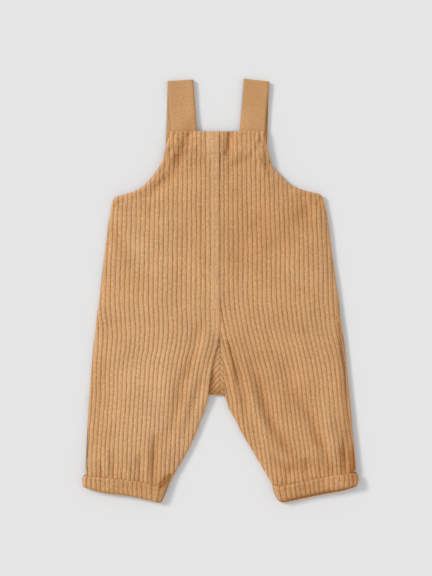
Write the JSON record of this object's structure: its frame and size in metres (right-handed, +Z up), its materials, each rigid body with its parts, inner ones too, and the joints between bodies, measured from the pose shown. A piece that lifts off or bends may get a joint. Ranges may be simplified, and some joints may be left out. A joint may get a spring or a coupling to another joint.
{
  "type": "toddler dungarees",
  "caption": "Toddler corduroy dungarees laid flat: square bib, two tape straps folded at the shoulder, wide legs and turned-up cuffs.",
  "frame": {"origin": "middle of the garment's bounding box, on the surface that it lies on", "axes": "+X to the viewer's right with the front facing up, +Y from the hems towards the shoulder straps, +Z up from the surface"},
  "size_m": [0.331, 0.5092, 0.0092],
  "materials": {
    "corduroy": "tan wide-wale cotton corduroy, matt with a soft pile",
    "strap_tape": "tan plain woven cotton, matt"
  },
  "bodies": {
    "root": {"front_left": "corduroy", "front_right": "corduroy", "back_left": "corduroy", "back_right": "corduroy", "fork_left": "corduroy", "fork_right": "corduroy", "cuff_left_front": "corduroy", "cuff_left_back": "corduroy", "cuff_right_front": "corduroy", "cuff_right_back": "corduroy", "strap_left": "strap_tape", "strap_right": "strap_tape"}
  },
  "joints": []
}
